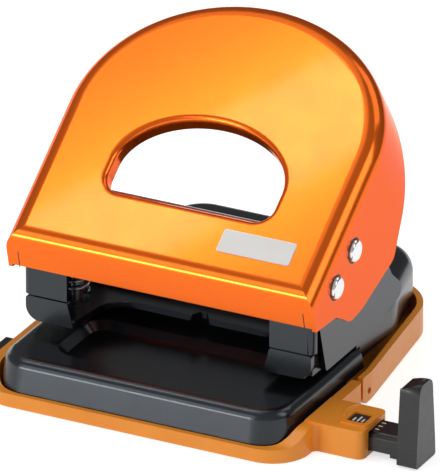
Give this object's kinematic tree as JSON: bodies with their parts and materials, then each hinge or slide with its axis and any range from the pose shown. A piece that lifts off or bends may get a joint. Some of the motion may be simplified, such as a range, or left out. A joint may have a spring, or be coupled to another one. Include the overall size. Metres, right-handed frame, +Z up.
{
  "type": "two-hole paper punch",
  "caption": "Desk punch for filing holes, with a tilted steel hand lever, sprung punch pins, a sliding paper guide and a hinged chip tray.",
  "frame": {"origin": "on the plane the punch stands on, midway between the two punch pins", "axes": "+X along the pair of holes towards the guide's stop, +Y towards the back where the sheet's edge stops, +Z up"},
  "size_m": [0.1399, 0.1135, 0.0982],
  "materials": {
    "orange_paint": "gloss metallic",
    "black_paint": "satin",
    "tool_steel": "ground",
    "spring_steel": "drawn",
    "chrome": "polished",
    "orange_plastic": "satin",
    "black_plastic": "fine grain"
  },
  "bodies": {
    "base": {"base_plate": "black_paint", "rear_housing": "black_paint", "jaw_plate": "black_paint", "left_cheek": "black_paint", "right_cheek": "black_paint", "punch_bracket_left": "black_paint", "punch_bracket_right": "black_paint", "die_ring_left": "tool_steel", "die_ring_right": "tool_steel", "pivot_rivet_left": "chrome", "pivot_rivet_right": "chrome", "pivot_washer_left": "black_plastic", "pivot_washer_right": "black_plastic", "bottom_frame": "orange_plastic"},
    "lever": {"lever": "orange_paint", "pusher_rod": "chrome"},
    "punch_left": {"punch_pin_left": "tool_steel", "spring_collar_left": "tool_steel", "retaining_clip_left": "spring_steel", "return_spring_left": "spring_steel"},
    "punch_right": {"punch_pin_right": "tool_steel", "spring_collar_right": "tool_steel", "retaining_clip_right": "spring_steel", "return_spring_right": "spring_steel"},
    "chip_tray": {"chip_flap": "orange_plastic", "flap_hinge_pin": "tool_steel"},
    "guide": {"guide_bar": "black_plastic"}
  },
  "joints": [
    {"name": "lever_hinge", "type": "hinge", "parent": "base", "child": "lever", "pos_m": [0, -0.0106, 0.0439], "axis": [-1, 0, 0], "range_deg": [0, 30], "stiffness_Nm_per_rad": 0.5, "springref_deg": -28.65},
    {"name": "punch_slide_left", "type": "slide", "parent": "base", "child": "punch_left", "axis": [0, 0, -1], "range_m": [0, 0.00674], "stiffness_N_per_m": 400, "springref_m": -0.005, "deforming": ["return_spring_left"]},
    {"name": "punch_slide_right", "type": "slide", "parent": "base", "child": "punch_right", "axis": [0, 0, -1], "range_m": [0, 0.00674], "stiffness_N_per_m": 400, "springref_m": -0.005, "deforming": ["return_spring_right"]},
    {"name": "guide_slide", "type": "slide", "parent": "base", "child": "guide", "axis": [1, 0, 0], "range_m": [-0.004, 0.0705]},
    {"name": "chip_tray_hinge", "type": "hinge", "parent": "base", "child": "chip_tray", "pos_m": [0, 0.0085, 0.0032], "axis": [-1, 0, 0], "range_deg": [0, 60]}
  ],
  "couplings": [
    {"joint": "punch_slide_left", "follows": "lever_hinge", "m_per_rad": 0.01287},
    {"joint": "punch_slide_right", "follows": "lever_hinge", "m_per_rad": 0.01287}
  ]
}
